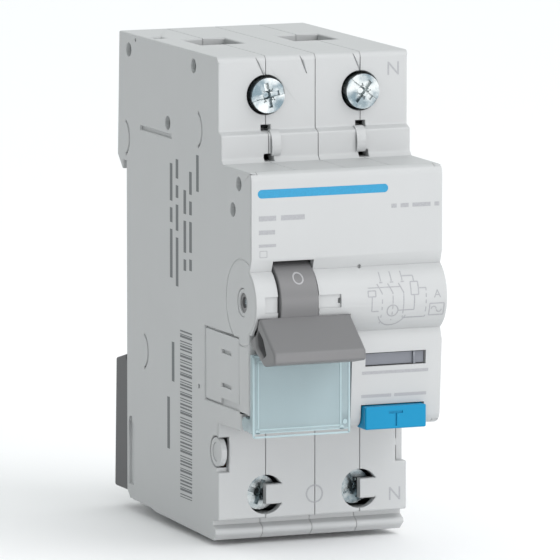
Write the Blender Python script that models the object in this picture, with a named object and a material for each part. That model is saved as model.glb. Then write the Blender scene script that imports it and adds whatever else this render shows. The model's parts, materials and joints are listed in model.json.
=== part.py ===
"""Two-module residual current breaker for a 35 mm rail.

World axes: X across the width, Y into the wall, Z up. The front faces -Y.
Y = 0 is the plane where the body rests on the rail, Z = 0 the rail's centre line.
All lengths below are millimetres, turned into metres when a solid is made.
"""

import math

import bmesh
import bpy
from mathutils import Matrix, Vector

MM = 0.001

# Driving dimensions
MODULE = 17.7
HALF_WIDTH = MODULE
MODULE_X = 8.85
WALL = 1.2
SEAM = 0.05
CENTRE_SEAM = 0.4
SHOULDER_Y = -44.0
NOSE_Y = -59.5
NOSE_Z = 22.5
TOP_Z = 40.8
BOTTOM_Z = -43.9
RAIL_HALF = 17.5
RAIL_LIP = 1.5
BACK_Y = 3.4
COVER_T = 1.7
RIM_T = 0.5
AXIS_Y, AXIS_Z = -55.2, -0.3
BULGE_R = 6.6
DRUM_R = 7.2
LINK_PIN = (AXIS_Y + 0.5, AXIS_Z + 4.3)
LINK_END = (-44.5, 1.2)
SCREW_Z_TOP, SCREW_Z_LOW = 34.0, -35.9
BAR_Y = -25.6
CONTACT_Y, CONTACT_Z = -38.0, -3.0
TRIP_Y, TRIP_Z = -41.0, 11.0
LABEL_Y, LABEL_Z = -56.0, -21.3
LABEL_X0, LABEL_X1 = -17.6, 0.7
LABEL_FLOOR_Y = -57.6
ARMATURE_Y, ARMATURE_Z = -41.5, 15.2
RIVETS = ((-1.3, 37.9), (-32.4, 38.2), (-20.1, 26.9), (-53.4, 20.0), (-50.7, 15.25))
RIVET_R = 1.0
PLUG_Y, PLUG_Z, PLUG_R = -42.7, -28.05, 2.55

MATERIALS = {
    "housing_plastic": ((0.66, 0.66, 0.68, 1), 0.45, 0.0),
    "grey_plastic": ((0.26, 0.26, 0.27, 1), 0.45, 0.0),
    "dark_grey_plastic": ((0.17, 0.17, 0.175, 1), 0.5, 0.0),
    "inner_plastic": ((0.12, 0.12, 0.13, 1), 0.55, 0.0),
    "clear_cover": ((0.55, 0.68, 0.72, 1), 0.08, 0.0),
    "paper_label": ((0.72, 0.76, 0.78, 1), 0.8, 0.0),
    "lens_plastic": ((0.2, 0.22, 0.25, 1), 0.1, 0.0),
    "blue_plastic": ((0.015, 0.35, 0.63, 1), 0.4, 0.0),
    "flag_yellow": ((0.75, 0.5, 0.03, 1), 0.5, 0.0),
    "zinc_steel": ((0.5, 0.53, 0.56, 1), 0.3, 1.0),
    "spring_steel": ((0.45, 0.45, 0.46, 1), 0.35, 1.0),
    "copper": ((0.72, 0.35, 0.2, 1), 0.35, 1.0),
    "brass": ((0.7, 0.55, 0.25, 1), 0.35, 1.0),
    "soft_iron": ((0.35, 0.35, 0.36, 1), 0.45, 1.0),
    "circuit_board": ((0.02, 0.18, 0.08, 1), 0.5, 0.0),
    "wire_insulation": ((0.03, 0.08, 0.35, 1), 0.5, 0.0),
    "ceramic": ((0.5, 0.42, 0.3, 1), 0.7, 0.0),
}


def clear_scene():
    for obj in list(bpy.data.objects):
        bpy.data.objects.remove(obj)


def make_collection(name, hidden):
    made = bpy.data.collections.new(name)
    bpy.context.scene.collection.children.link(made)
    made.hide_render = hidden
    return made


def make_material(name):
    color, roughness, metallic = MATERIALS[name]
    made = bpy.data.materials.new(name)
    made.use_nodes = True
    shader = made.node_tree.nodes["Principled BSDF"]
    shader.inputs["Base Color"].default_value = color
    shader.inputs["Roughness"].default_value = roughness
    shader.inputs["Metallic"].default_value = metallic
    made.diffuse_color = color
    return made


clear_scene()
PARTS = make_collection("residual_current_device", False)
CUTTERS = make_collection("cutters", True)
SHADES = {name: make_material(name) for name in MATERIALS}


# Solids


def weld(obj):
    """Joins the caps of a converted curve and points every face outwards."""
    mesh = bmesh.new()
    mesh.from_mesh(obj.data)
    bmesh.ops.remove_doubles(mesh, verts=mesh.verts, dist=1e-6)
    bmesh.ops.recalc_face_normals(mesh, faces=mesh.faces)
    mesh.to_mesh(obj.data)
    mesh.free()
    return obj


def from_curve(curve, turn):
    obj = bpy.data.objects.new("solid", curve)
    PARTS.objects.link(obj)
    bpy.ops.object.select_all(action="DESELECT")
    obj.select_set(True)
    bpy.context.view_layer.objects.active = obj
    bpy.ops.object.convert(target="MESH")
    obj.data.transform(turn)
    return weld(obj)


ACROSS = Matrix(((0, 0, 1, 0), (1, 0, 0, 0), (0, 1, 0, 0), (0, 0, 0, 1)))


def prism(outline, low, high):
    """A flat outline in (y, z) with thickness along X."""
    curve = bpy.data.curves.new("outline", "CURVE")
    curve.dimensions = "2D"
    curve.fill_mode = "BOTH"
    curve.extrude = (high - low) / 2 * MM
    spline = curve.splines.new("POLY")
    spline.points.add(len(outline) - 1)
    for point, (a, b) in zip(spline.points, outline):
        point.co = (a * MM, b * MM, 0, 1)
    spline.use_cyclic_u = True
    middle = (low + high) / 2 * MM
    return from_curve(curve, ACROSS @ Matrix.Translation((0, 0, middle)))


def box(x, y, z):
    """A block between the two ends of each range."""
    centre = [sum(side) / 2 * MM for side in (x, y, z)]
    bpy.ops.mesh.primitive_cube_add(size=1)
    obj = bpy.context.object
    size = [(side[1] - side[0]) * MM for side in (x, y, z)]
    obj.data.transform(Matrix.Translation(centre) @ Matrix.Diagonal((*size, 1)))
    return obj


def rod(centre, radius, low, high, axis="X", sides=24):
    """A cylinder along one axis from low to high; centre holds the other two coordinates in order."""
    bpy.ops.mesh.primitive_cylinder_add(
        vertices=sides, radius=radius * MM, depth=(high - low) * MM
    )
    obj = bpy.context.object
    middle = (low + high) / 2
    turn, place = {
        "X": (Matrix.Rotation(math.pi / 2, 4, "Y"), (middle, centre[0], centre[1])),
        "Y": (Matrix.Rotation(-math.pi / 2, 4, "X"), (centre[0], middle, centre[1])),
        "Z": (Matrix.Identity(4), (centre[0], centre[1], middle)),
    }[axis]
    obj.data.transform(Matrix.Translation(Vector(place) * MM) @ turn)
    return obj


def wire(points, radius, sides=2):
    """A round wire through the points."""
    curve = bpy.data.curves.new("wire", "CURVE")
    curve.dimensions = "3D"
    curve.bevel_depth = radius * MM
    curve.bevel_resolution = sides
    curve.use_fill_caps = True
    spline = curve.splines.new("POLY")
    spline.points.add(len(points) - 1)
    for point, place in zip(spline.points, points):
        point.co = (*(Vector(place) * MM), 1)
    return from_curve(curve, Matrix.Identity(4))


def helix(centre, radius, low, high, turns, axis, per_turn=14):
    """Points of a coil along Y or Z."""
    points = []
    steps = int(turns * per_turn)
    for step in range(steps + 1):
        angle = 2 * math.pi * step / per_turn
        along = low + (high - low) * step / steps
        a, b = centre[0] + radius * math.cos(angle), centre[1] + radius * math.sin(angle)
        points.append({"X": (along, a, b), "Y": (a, along, b), "Z": (a, b, along)}[axis])
    return points


def arc(centre, radius, start, end, steps):
    """Points on an arc, angles in degrees from the first axis towards the second."""
    points = []
    for step in range(steps + 1):
        angle = math.radians(start + (end - start) * step / steps)
        points.append((centre[0] + radius * math.cos(angle), centre[1] + radius * math.sin(angle)))
    return points


def combine(obj, other, operation):
    """Adds or takes away another solid with a live Boolean."""
    modifier = obj.modifiers.new(operation.lower(), "BOOLEAN")
    modifier.operation = operation
    modifier.solver = "EXACT"
    modifier.object = other
    for holder in list(other.users_collection):
        holder.objects.unlink(other)
    CUTTERS.objects.link(other)
    other.hide_render = True
    other.display_type = "WIRE"
    return obj


def cut(obj, *others):
    for other in others:
        combine(obj, other, "DIFFERENCE")
    return obj


def add(obj, *others):
    for other in others:
        combine(obj, other, "UNION")
    return obj


def part(name, obj, shade, pivot=(0, 0, 0)):
    """Names a solid, gives it its material and puts its origin on its joint."""
    obj.name = name
    obj.data.name = name
    obj.data.materials.clear()
    obj.data.materials.append(SHADES[shade])
    shift = Vector(pivot) * MM
    if shift.length:
        obj.data.transform(Matrix.Translation(-shift))
        obj.location = shift
    for holder in list(obj.users_collection):
        holder.objects.unlink(obj)
    PARTS.objects.link(obj)
    return obj


# Outlines in (y, z)


def bulge(radius, start=58, end=-58, steps=14):
    """The round bearing of the toggle, from its upper groove to its lower one."""
    return arc((AXIS_Y, AXIS_Z), radius, 180 - start, 180 - end, steps)


def nose_outline():
    """The nose from its upper edge, over the bulge, to its lower edge."""
    return (
        arc((NOSE_Y + 1.5, NOSE_Z - 1.5), 1.5, 90, 180, 4)
        + [(NOSE_Y, 7.6), (-58.6, 5.3)]
        + bulge(BULGE_R)
        + [(NOSE_Y, -8.0), (NOSE_Y + 0.9, -20.6)]
        + arc((NOSE_Y + 3.1, -20.6), 2.2, 188, 265, 4)
    )


def body_outline():
    """The body from its top edge down the front to the bottom."""
    return (
        [(BACK_Y, TOP_Z)]
        + arc((SHOULDER_Y + 1, TOP_Z - 1), 1, 90, 180, 4)
        + [(SHOULDER_Y, 27.9), (-45.4, 27.3), (-45.4, 23.2), (-46.1, NOSE_Z)]
        + nose_outline()
        + [(SHOULDER_Y, -22.9), (SHOULDER_Y, -40.0), (-41.3, -40.4), (-41.3, -41.2)]
        + arc((-41.9, -42.4), 0.8, 120, 215, 4)
        + [(-41.4, BOTTOM_Z), (-14.2, -43.1)]
    )


def back_outline():
    """The rail recess and hook, from the bottom edge up to the top."""
    return [
        (-11.2, -42.7),
        (-1.4, -42.4),
        (0.0, -41.0),
        (0.0, RAIL_HALF + 0.4),
        (RAIL_LIP, RAIL_HALF + 0.4),
        (RAIL_LIP, RAIL_HALF - 1.1),
        (2.0, RAIL_HALF - 1.1),
        (4.3, 18.7),
        (3.9, 28.5),
    ]


def tail_outline():
    """The rounded foot under the inner shells."""
    return (
        [(-14.2, -43.1), (-13.2, -43.4), (-10.9, -43.3), (-9.2, -44.1)]
        + arc((-4.8, -40.0), 4.9, 255, 300, 4)
        + [(0.4, -43.8), (1.8, -43.0), (2.0, -41.9), (0.0, -41.0)]
    )


# Housing shells


def cavities(low, high):
    """The compartments of one half shell: mechanism, nose, both terminals and the back."""
    back_top = ((low, high), (-11.8, 2.2), (20.0, 39.4))
    return [
        box((low, high), (-43.0, -1.4), (-27.8, 25.9)),
        box((low, high), (-66.0, -42.9), (-21.6, 21.2)),
        box((low, high), (-42.6, -13.2), (27.9, 39.6)),
        box((low, high), (-42.6, -13.2), (-39.4, -29.0)),
        box((low, high), (-40.2, -13.2), (-41.9, -39.0)),
        cut(box(*back_top), box((low - 1, high + 1), (-12, 0.2), (19.0, 27.0))),
        box((low, high), (-11.8, -2.0), (-41.4, -29.0)),
    ]


def terminal_openings(x):
    """Screw holes, conductor entries with a funnel, and the small openings under the upper screw."""
    hole = 3.5
    return [
        rod((x, SCREW_Z_TOP), hole, -46, -41, "Y", 32),
        box((x - 4.1, x + 4.1), (-24.4, -14.6), (38.0, 42.0)),
        box((x - 4.1, x + 4.1), (-24.4, -14.6), (-46.0, -41.0)),
        box((x - 0.9, x + 0.9), (-46.0, -41.0), (27.7, 28.8)),
        box((x - 0.9, x + 0.9), (-46.0, -41.0), (22.6, 23.9)),
        box((x - 3.3, x + 3.3), (BAR_Y - 0.4, BAR_Y + 1.4), (25.0, 29.0)),
        box((x - 3.3, x + 3.3), (BAR_Y - 0.4, BAR_Y + 1.4), (-30.0, -27.0)),
    ]


def low_screw_opening(x):
    """The lower screw hole, kept half closed by a tongue from its right side."""
    tongue = box((x, x + 6), (-47, -40), (SCREW_Z_LOW - 1.75, SCREW_Z_LOW + 1.75))
    return cut(rod((x, SCREW_Z_LOW), 3.45, -46, -41, "Y", 32), tongue)


def joined_cuts(obj, cutters):
    for cutter in cutters:
        combine(obj, cutter, "DIFFERENCE")
    return obj


def shell(name, low, high, inner_low, inner_high, side_wall, tail):
    """A half shell between two planes, hollow between the inner planes."""
    back = tail_outline() if tail else []
    lower = back_outline()[2:] if tail else back_outline()
    body = prism(body_outline() + back + lower, low, high)
    joined_cuts(body, cavities(inner_low, inner_high))
    reach = (low - 1, high + 1)
    # The nose front makes room for the front cover, which is thin where it meets the outer walls.
    combine(body, prism(in_front(RIM_T + 0.1), low - 1, high + 1), "DIFFERENCE")
    inside = HALF_WIDTH - WALL + 0.05
    zone = (max(low - 1, -inside), min(high + 1, inside))
    combine(body, prism(in_front(COVER_T + 0.1), *zone), "DIFFERENCE")
    if zone[0] < LABEL_X1:
        label_zone = (zone[0], min(zone[1], LABEL_X1 + 1.4))
        combine(body, box(label_zone, (-62, LABEL_FLOOR_Y + 1.3), (-25, -3.8)), "DIFFERENCE")
        joined_cuts(body, label_notches())
    if low < -inside:
        combine(body, box((low - 1, -inside + 0.1), (-62, NOSE_Y + 1.5), (-25, -5.6)), "DIFFERENCE")
    if high > MODULE_X - 1:
        combine(body, box((2.9, 14.7), (-62, -54.5), (-24, -18.8)), "DIFFERENCE")
    for centre in RIVETS:
        combine(body, rod(centre, RIVET_R + 0.25, low - 1, high + 1, "X", 16), "DIFFERENCE")
    x = math.copysign(MODULE_X, low + high)
    joined_cuts(body, terminal_openings(x))
    combine(body, low_screw_opening(x), "DIFFERENCE")
    if side_wall:
        joined_cuts(body, side_features(low, high))
    else:
        combine(body, rod((CONTACT_Y, CONTACT_Z), 1.9, low - 1, high + 1, "X", 20), "DIFFERENCE")
        combine(body, rod((AXIS_Y, AXIS_Z), 2.4, low - 1, high + 1, "X", 20), "DIFFERENCE")
        combine(body, box((low - 1, high + 1), (-20, -8), (-27.0, -23.0)), "DIFFERENCE")
        combine(body, box((-6.6, 6.6), (-4.2, 1.0), (-40.6, -19.4)), "DIFFERENCE")
    return part(name, body, "housing_plastic")


def label_notches():
    """Room for the two hinge bosses of the clear label cover."""
    sides = ((LABEL_X0 - 0.4, LABEL_X0 + 1.3), (LABEL_X1 - 1.2, LABEL_X1 + 0.3))
    return [box(side, (-62, LABEL_Y + 1.6), (-25, LABEL_Z + 1.6)) for side in sides]


def set_back(thickness, lower=True):
    """Everything behind the front at this depth under its surface, down past the bulge or the nose."""
    front = NOSE_Y + thickness
    behind = -45.0
    section = [(behind, 30), (front, 30), (front, 7.4), (-58.6 + thickness, 5.2)]
    section += bulge(BULGE_R - thickness)
    if lower:
        return section + [(front, -8.2), (front + 0.9, -20.6), (front + 0.9, -30), (behind, -30)]
    return section + [(behind, -5.5)]


def in_front(thickness):
    """Everything before the same surface, which a shell leaves to the front cover."""
    ahead = -70.0
    return [(ahead, 30)] + set_back(thickness)[1:-1] + [(ahead, -30)]


def side_features(low, high):
    """Bore, accessory recess and coupling opening of an outer wall, and its moulded marks."""
    sign = math.copysign(1, low + high)
    outside = sorted((sign * (HALF_WIDTH + 1), sign * (HALF_WIDTH - 0.5)))
    through = sorted((sign * (HALF_WIDTH + 1), sign * (HALF_WIDTH - 2)))
    bore = through if sign < 0 else outside
    cutters = [
        rod((AXIS_Y, AXIS_Z), 2.5, bore[0], bore[1], "X", 32),
        prism([(-6.9, 24.3), (-21.9, 24.3), (-21.9, 25.0), (-6.9, 25.0)], *outside),
        prism([(-0.9, -39.8), (-3.2, -39.8), (-3.2, -28.7), (-0.9, -28.7)], *outside),
    ]
    if sign < 0:
        cutters += [
            box(outside, (-53.6, -37.6), (-19.5, -6.6)),
            box(through, (-52.4, -38.8), (-18.2, -7.9)),
            rod((PLUG_Y, PLUG_Z), PLUG_R + 0.3, through[0], through[1], "X", 32),
            box(through, (-48, -43.0), (PLUG_Z - 3.5, PLUG_Z + 2.6)),
        ]
    else:
        cutters.append(box(through, (-48, -42.1), (PLUG_Z - 3.4, -24.0)))
    for y, z in ((0.6, 22.1), (-34.2, 27.3), (-8.3, -15.0)):
        ring = arc((y + 1.2, z), 3.6, 115, 245, 12) + arc((y + 1.2, z), 3.1, 245, 115, 12)
        cutters.append(prism(ring, outside[0], outside[1]))
    return cutters


def build_housing():
    """Each module is split at its own middle, and the two modules meet at the centre seam."""
    outer, split = HALF_WIDTH, MODULE_X
    cavity = (WALL, split + 1)
    middle = (CENTRE_SEAM - SEAM, CENTRE_SEAM + SEAM)
    shell("left_outer_shell", -outer, -split - SEAM, -outer + WALL, -split + 1, True, False)
    shell("left_inner_shell", -split + SEAM, middle[0], -cavity[1], -WALL, False, True)
    shell("right_inner_shell", middle[1], split - SEAM, CENTRE_SEAM + WALL, cavity[1], False, True)
    shell("right_outer_shell", split + SEAM, outer, split - 1, outer - WALL, True, False)


def build_front_cover():
    body_x, far = HALF_WIDTH - WALL - 0.05, HALF_WIDTH + 2
    blank = nose_outline() + [(-50.0, -22.9), (-50.0, NOSE_Z)]
    cover = prism(blank, -HALF_WIDTH, HALF_WIDTH)
    low_front = NOSE_Y + COVER_T
    under_label = [(-45, -4), (-57.0, -4), (LABEL_FLOOR_Y + 1.2, -8.0), (LABEL_FLOOR_Y + 1.2, -30)]
    right_low = [(-45, -4), (low_front, -4.3), (low_front, -8.2), (low_front + 0.9, -20.6)]
    right_low += [(low_front + 0.9, -30), (-45, -30)]
    left_rim = in_front_of_label_rim()
    cut(
        cover,
        prism(set_back(COVER_T, False), -far, far),
        prism(right_low, LABEL_X1 + 1.2, far),
        prism(under_label + [(-45, -30)], -far, LABEL_X1 + 1.3),
        prism(set_back(RIM_T), body_x, far),
        prism(left_rim, -far, -body_x),
        box((-far, LABEL_X1 + 0.3), (-64, LABEL_FLOOR_Y), (-26, -6.2)),
        box((-far, LABEL_X1 + 0.3), (-64, -50), (-26, -22.4)),
        *label_notches(),
        box((-13.7, -6.1), (-64.0, -50.0), (-7.7, 7.1)),
        box((3.5, 14.8), (-61.0, -56.0), (-12.1, -9.7)),
        box((2.9, 14.7), (-61.0, -56.0), (-24.0, -18.8)),
        box((-6.3, -2.0), (-62.5, -61.3), (-1.1, 1.2)),
        box((-16.1, -13.5), (-62.5, -61.3), (-1.5, 1.3)),
    )
    part("front_cover", cover, "housing_plastic")


def in_front_of_label_rim():
    """What the left rim leaves out: all behind it, and everything beside the label."""
    section = set_back(RIM_T)[:-4]
    return section + [(-64, -6.2), (-64, -30), (-45, -30)]


def build_side_pieces():
    plate = box((-17.6, -17.25), (-53.3, -37.9), (-19.2, -6.9))
    add(plate, box((-17.3, -16.7), (-52.1, -39.1), (-17.9, -8.2)))
    marks = [box((-18.0, -17.4), (-49.8, -45.2), (z - 0.35, z + 0.35)) for z in (-10.0, -15.9)]
    part("accessory_cover", cut(plate, *marks), "housing_plastic")
    part("coupling_plug", rod((PLUG_Y, PLUG_Z), PLUG_R, -17.6, -16.6, "X", 32), "housing_plastic")
    for number, centre in enumerate(RIVETS, 1):
        body = rod(centre, RIVET_R, -16.9, 16.9, "X", 16)
        part(f"housing_rivet_{number}", body, "zinc_steel")


# Toggle


def paddle_outline():
    """The lever's section at rest, pointing down and forwards."""
    grip = [(-62.0, -2.2), (-69.0, -7.5), (-69.1, -9.3), (-64.1, -10.3), (-58.2, -7.3)]
    return grip + arc((AXIS_Y, AXIS_Z), 7.0, 244, 197, 6)


def build_toggle():
    lever = rod((AXIS_Y, AXIS_Z), DRUM_R, -13.4, -6.4, "X", 48)
    add(lever, prism(paddle_outline(), -17.4, -0.4))
    add(lever, rod((AXIS_Y, AXIS_Z), 2.1, -17.3, -13.3, "X", 24))
    add(lever, rod((AXIS_Y, AXIS_Z), 2.1, -6.5, -1.6, "X", 24))
    recess = [(-61.4, -4.3), (-63.6, -5.8), (-65.1, -8.2), (-63.9, -8.9), (-61.0, -7.3), (-60.4, -5.3)]
    cut(
        lever,
        rod((AXIS_Y, AXIS_Z), 1.0, -18, 0, "X", 16),
        prism(recess, -18, -5.0),
        box((-14, -5.9), (-50.5, -46), (-9, 9)),
        rod(LINK_PIN, 0.75, -14, -5, "X", 12),
    )
    pivot = (-9.9, AXIS_Y, AXIS_Z)
    part("toggle_lever", lever, "grey_plastic", pivot)
    part("toggle_pin", rod((AXIS_Y, AXIS_Z), 0.75, -17.0, -1.5, "X", 16), "zinc_steel", pivot)
    coil = helix((AXIS_Y, AXIS_Z), 2.8, -5.9, -3.0, 4, "X")
    leg = [(-3.0, -49.6, 0.4)]
    part("toggle_spring", wire(coil + leg, 0.25, 1), "spring_steel")


# Contacts and trip mechanism


def build_contacts():
    pivot = (0, CONTACT_Y, CONTACT_Z)
    bar = rod((CONTACT_Y, CONTACT_Z), 1.6, -14.6, 6.9, "X", 20)
    add(bar, box((-14.0, -10.6), (-39.6, -36.4), (-8.2, -3.0)))
    crank = [(-46.4, -1.2), (-38.4, -3.8), (-37.0, -2.2), (-37.4, 3.6), (-46.4, 3.6)]
    add(bar, prism(crank, -13.2, -11.6))
    cut(bar, box((-14.5, -10), (-45.6, -38.6), (-0.2, 2.7)))
    part("contact_crossbar", bar, "inner_plastic", pivot)
    for name, x in (("phase_contact_arm", -8.0), ("neutral_contact_arm", 4.3)):
        section = [(-40.2, -5.2), (-35.5, -5.4), (-24.6, -3.4), (-22.6, -3.4), (-22.6, -1.8)]
        section += [(-26.0, -1.8), (-36.0, -0.8), (-40.2, -0.8)]
        arm = prism(section, x - 0.9, x + 0.9)
        add(arm, box((x - 1.2, x + 1.2), (-25.2, -22.9), (-2.0, -1.1)))
        cut(arm, rod((CONTACT_Y, CONTACT_Z), 1.75, x - 3, x + 3, "X", 20))
        part(name, arm, "copper", pivot)
        strip = [(-26.6, 3.6), (-18.0, 3.6), (-18.0, 4.8), (-26.6, 4.8)]
        fixed = prism(strip, x - 1.5, x + 1.5)
        add(fixed, box((x - 1.2, x + 1.2), (-25.4, -22.9), (2.8, 3.7)))
        part(name.replace("arm", "anvil"), fixed, "copper")
    coil = helix((-7.9, -33.4), 1.1, -12.4, -6.1, 6, "Z", 10)
    part("contact_spring", wire(coil, 0.22, 1), "spring_steel")
    link = [(-5.6, *LINK_PIN), (-14.8, *LINK_PIN), (-14.8, *LINK_END), (-10.9, *LINK_END)]
    part("link_rod", wire(link, 0.5), "zinc_steel", (-9.9, *LINK_PIN))


def build_trip():
    pivot = (-9, TRIP_Y, TRIP_Z)
    lever = rod((TRIP_Y, TRIP_Z), 1.8, -12.4, -5.4, "X", 20)
    add(lever, box((-11.4, -6.4), (-41.9, -40.1), (11.0, 21.0)))
    add(lever, box((-11.4, -6.4), (-42.0, -36.2), (4.4, 6.2)))
    add(lever, box((-11.4, -6.4), (-41.9, -40.1), (4.4, 11.0)))
    cut(lever, rod((TRIP_Y, TRIP_Z), 0.9, -14, -4, "X", 16))
    part("trip_lever", lever, "inner_plastic", pivot)
    part("trip_pin", rod((TRIP_Y, TRIP_Z), 0.65, -16.2, -1.5, "X", 16), "zinc_steel")
    coil = helix((-8.9, 17.0), 4.0, -32.0, -18.0, 9, "Y", 16)
    part("magnetic_coil", wire(coil, 0.65, 1), "copper")
    tube = rod((-8.9, 17.0), 3.1, -33.2, -16.4, "Y", 24)
    add(tube, rod((-8.9, 17.0), 4.7, -17.2, -16.4, "Y", 24))
    cut(tube, rod((-8.9, 17.0), 1.9, -34, -19.0, "Y", 20))
    part("coil_bobbin", tube, "inner_plastic")
    plunger = rod((-8.9, 17.0), 1.6, -37.6, -22.2, "Y", 20)
    part("plunger", plunger, "soft_iron")
    strip = [(-33.2, -27.0), (-32.2, -27.0), (-32.2, -7.0), (-33.2, -7.0)]
    part("bimetal_strip", prism(strip, -14.6, -10.6), "brass")
    build_arc_chute()


def build_arc_chute():
    """A stack of splitter plates held between two fibre cheeks."""
    cheeks = box((-12.6, -12.0), (-19.4, -4.0), (-21.0, -1.0))
    add(cheeks, box((-5.4, -4.8), (-19.4, -4.0), (-21.0, -1.0)))
    chute = add(box((-12.2, -5.2), (-5.0, -4.0), (-21.0, -1.0)), cheeks)
    for number in range(9):
        z = -19.6 + 2.2 * number
        add(chute, box((-12.3, -5.1), (-18.0, -4.5), (z, z + 0.8)))
    part("arc_chute", chute, "soft_iron")


# Terminals


def build_terminals():
    places = (("upper_phase", -MODULE_X, 1), ("upper_neutral", MODULE_X, 1))
    places += (("lower_phase", -MODULE_X, -1), ("lower_neutral", MODULE_X, -1))
    for name, x, side in places:
        build_terminal(name, x, side)


def build_terminal(name, x, side):
    z = SCREW_Z_TOP if side > 0 else SCREW_Z_LOW
    head_y = SHOULDER_Y - 1.3 if side > 0 else SHOULDER_Y + 3.0
    screw = rod((x, z), 3.05, head_y, head_y + 2.6, "Y", 32)
    add(screw, rod((x, z), 2.2, head_y + 2.5, BAR_Y - 0.3, "Y", 24))
    for wide, tall in ((5.2, 0.9), (0.9, 5.2)):
        slot = box((x - wide / 2, x + wide / 2), (head_y - 1, head_y + 1.1), (z - tall / 2, z + tall / 2))
        cut(screw, slot)
    part(f"{name}_screw", screw, "zinc_steel", (x, head_y, z))
    cage = box((x - 4.6, x + 4.6), (-31.0, -13.6), (z - 3.0, z + 3.0))
    cut(cage, box((x - 3.7, x + 3.7), (-29.2, -15.2), (z - 5, z + 5)))
    cut(cage, rod((x, z), 2.45, -35, -28, "Y", 24))
    part(f"{name}_cage", cage, "zinc_steel")
    ends = {"upper_phase": 22.2, "upper_neutral": 18.8, "lower_phase": -23.0, "lower_neutral": -23.0}
    bar = box((x - 3.0, x + 3.0), (BAR_Y, BAR_Y + 1.0), sorted((z + side * 2.8, ends[name])))
    part(f"{name}_bar", bar, "copper")


# Residual current parts


def build_residual_side():
    y, z = -15.0, -12.0
    low, high = 9.4, 13.0
    ring = cut(rod((y, z), 6.6, low, high, "X", 32), rod((y, z), 4.6, low - 1, high + 1, "X", 32))
    part("transformer_core", ring, "soft_iron")
    wrap = cut(rod((y, z), 7.9, low - 1.2, high + 1.2, "X", 32), rod((y, z), 3.4, 0, 20, "X", 32))
    gap = cut(rod((y, z), 6.9, low - 0.3, high + 0.3, "X", 32), rod((y, z), 4.3, 0, 20, "X", 32))
    cut(wrap, gap, box((low - 3, high + 3), (y - 1.6, y + 1.6), (z + 1, z + 10)))
    part("secondary_winding", wrap, "copper")
    phase = [(-2.6, -14.2, -25.0), (4.6, -14.2, -25.0), (7.2, -14.2, -22.6), (7.2, -14.2, -12.8)]
    phase += [(15.0, -14.2, -12.8), (15.0, -14.2, -22.0)]
    part("phase_conductor", wire(phase, 0.9), "wire_insulation")
    neutral = [(5.0, -16.2, -0.5), (7.2, -16.2, -2.2), (7.2, -16.2, -10.6), (15.0, -16.2, -10.6)]
    neutral += [(15.0, -16.2, 1.0)]
    part("neutral_conductor", wire(neutral, 0.9), "wire_insulation")
    relay = cut(box((7.0, 15.6), (-38.0, -26.0), (6.0, 18.0)), box((8.0, 14.6), (-39, -27.5), (7.2, 16.8)))
    part("trip_relay", relay, "inner_plastic")
    yoke = rod((11.3, 12.0), 2.6, -37.6, -29.0, "Y", 24)
    part("relay_coil", yoke, "copper")
    armature = box((8.6, 14.0), (-41.0, -40.2), (8.0, 15.4))
    add(armature, rod((ARMATURE_Y + 1.0, ARMATURE_Z + 0.4), 0.7, 7.6, 15.0, "X", 12))
    part("relay_armature", armature, "soft_iron", (11.3, ARMATURE_Y + 1.0, ARMATURE_Z + 0.4))
    board = box((15.2, 16.2), (-41.0, -24.5), (-26.0, 3.0))
    part("circuit_board", board, "circuit_board")
    part("test_resistor", rod((14.0, -31.0), 1.1, -22.0, -12.0, "Z", 16), "ceramic")
    leaf = box((4.6, 6.8), (-47.6, -47.1), (-21.3, -12.0))
    part("test_contact_leaf", leaf, "brass")


def build_test_button():
    x0, x1 = 3.1, 14.5
    key = box((x0, x1), (-60.3, -56.6), (-23.0, -19.0))
    add(key, box((x0 + 1.6, x1 - 2.6), (-57.0, -49.6), (-21.1, -19.6)))
    part("test_button", key, "blue_plastic", ((x0 + x1) / 2, -58.6, -21.0))
    coil = helix(((x0 + x1) / 2, -19.9), 1.2, -49.3, -44.8, 5, "Y", 12)
    part("test_button_spring", wire(coil, 0.22, 1), "spring_steel")


def build_indicator():
    lens = box((3.7, 14.6), (-58.7, -57.9), (-11.9, -9.9))
    part("indicator_lens", lens, "lens_plastic")
    flag = box((4.4, 12.2), (-57.2, -56.6), (-15.4, -12.6))
    add(flag, box((7.6, 9.0), (-56.8, -46.0), (-15.4, -14.6)))
    part("fault_flag", flag, "flag_yellow")


# Label and rail clip


def build_label():
    x0, x1 = LABEL_X0, LABEL_X1
    pivot = ((x0 + x1) / 2, LABEL_Y, LABEL_Z)
    top, bottom = -8.9, -22.6
    clear = box((x0, x1), (NOSE_Y + 0.1, NOSE_Y + 1.2), (bottom, top))
    for low, high in ((x0, x0 + 0.9), (x1 - 0.9, x1)):
        add(clear, box((low, high), (NOSE_Y + 0.2, LABEL_Y), (LABEL_Z - 1.2, LABEL_Z + 1.1)))
        add(clear, rod((LABEL_Y, LABEL_Z), 1.25, low - 0.01, high + 0.01, "X", 24))
    add(clear, box((x0 + 0.8, x1 - 0.8), (NOSE_Y + 0.2, NOSE_Y + 1.3), (bottom, bottom + 1.0)))
    part("clear_label_cover", clear, "clear_cover", pivot)
    card = box((x0 + 1.4, x1 - 1.4), (NOSE_Y + 1.5, NOSE_Y + 1.75), (-20.9, -9.6))
    part("label_card", card, "paper_label")


def clip_outline():
    return [(1.6, -16.9), (6.6, -18.2), (7.4, -40.6), (7.1, -41.4), (0.4, -41.4), (0.4, -17.9), (1.6, -17.9)]


def build_rail_clip():
    clip = prism(clip_outline(), -17.2, 17.2)
    cut(clip, box((-9.6, 9.6), (-1.0, 2.6), (-43.0, -36.0)))
    add(clip, box((-6.2, 6.2), (-3.8, 1.0), (-30.4, -22.0)))
    part("rail_clip", clip, "dark_grey_plastic")
    coil = helix((0.0, -2.0), 1.3, -40.2, -30.8, 8, "Z", 12)
    part("rail_clip_spring", wire(coil, 0.25, 1), "spring_steel")


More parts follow.
